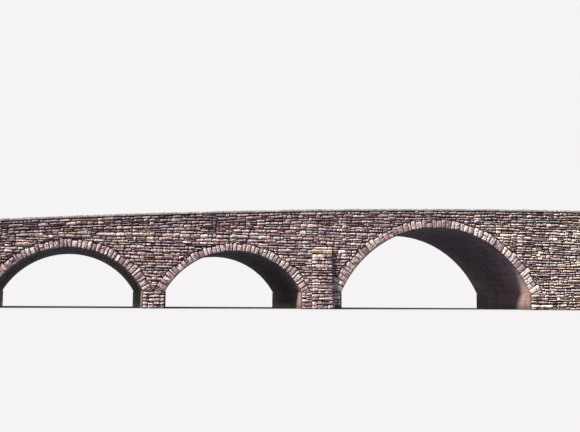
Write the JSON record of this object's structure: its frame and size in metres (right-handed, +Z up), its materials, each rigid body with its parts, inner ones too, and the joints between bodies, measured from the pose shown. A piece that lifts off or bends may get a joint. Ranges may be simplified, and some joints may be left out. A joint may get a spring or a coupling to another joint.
{
  "type": "stone arch bridge",
  "caption": "Stone arch bridge on slim and broad piers: small segmental arches beside a wide one, ragged ring stones, rubble limestone walls and a low coped parapet on a rising road.",
  "frame": {"origin": "centre of the footprint at the water line, where the piers and abutments stand", "axes": "+X along the bridge towards its higher end and the wide arch, -Y out of the face that the picture shows, +Z up"},
  "size_m": [39.7, 7.54, 6.2382],
  "materials": {
    "concrete": "board-marked concrete, matt",
    "rubble_limestone": "coursed rubble limestone, rough",
    "ring_stone": "split limestone, rough",
    "coping_stone": "sawn limestone, weathered",
    "rubble_fill": "packed rubble and earth",
    "asphalt": "worn asphalt, matt"
  },
  "bodies": {
    "root": {"abutment_left": "concrete", "pier_slim": "concrete", "pier_broad": "concrete", "abutment_right": "concrete", "barrel_left": "concrete", "barrel_middle": "concrete", "barrel_main": "concrete", "ring_left_front": "ring_stone", "ring_middle_front": "ring_stone", "ring_main_front": "ring_stone", "ring_left_back": "ring_stone", "ring_middle_back": "ring_stone", "ring_main_back": "ring_stone", "wall_left_front": "rubble_limestone", "wall_slim_pier_front": "rubble_limestone", "wall_broad_pier_front": "rubble_limestone", "wall_right_front": "rubble_limestone", "wall_left_back": "rubble_limestone", "wall_slim_pier_back": "rubble_limestone", "wall_broad_pier_back": "rubble_limestone", "wall_right_back": "rubble_limestone", "coping_left_front": "coping_stone", "coping_slim_pier_front": "coping_stone", "coping_broad_pier_front": "coping_stone", "coping_right_front": "coping_stone", "coping_left_back": "coping_stone", "coping_slim_pier_back": "coping_stone", "coping_broad_pier_back": "coping_stone", "coping_right_back": "coping_stone", "pilaster_front": "rubble_limestone", "pilaster_back": "rubble_limestone", "pilaster_cap_front": "coping_stone", "pilaster_cap_back": "coping_stone", "fill": "rubble_fill", "road_slab": "asphalt"}
  },
  "joints": []
}
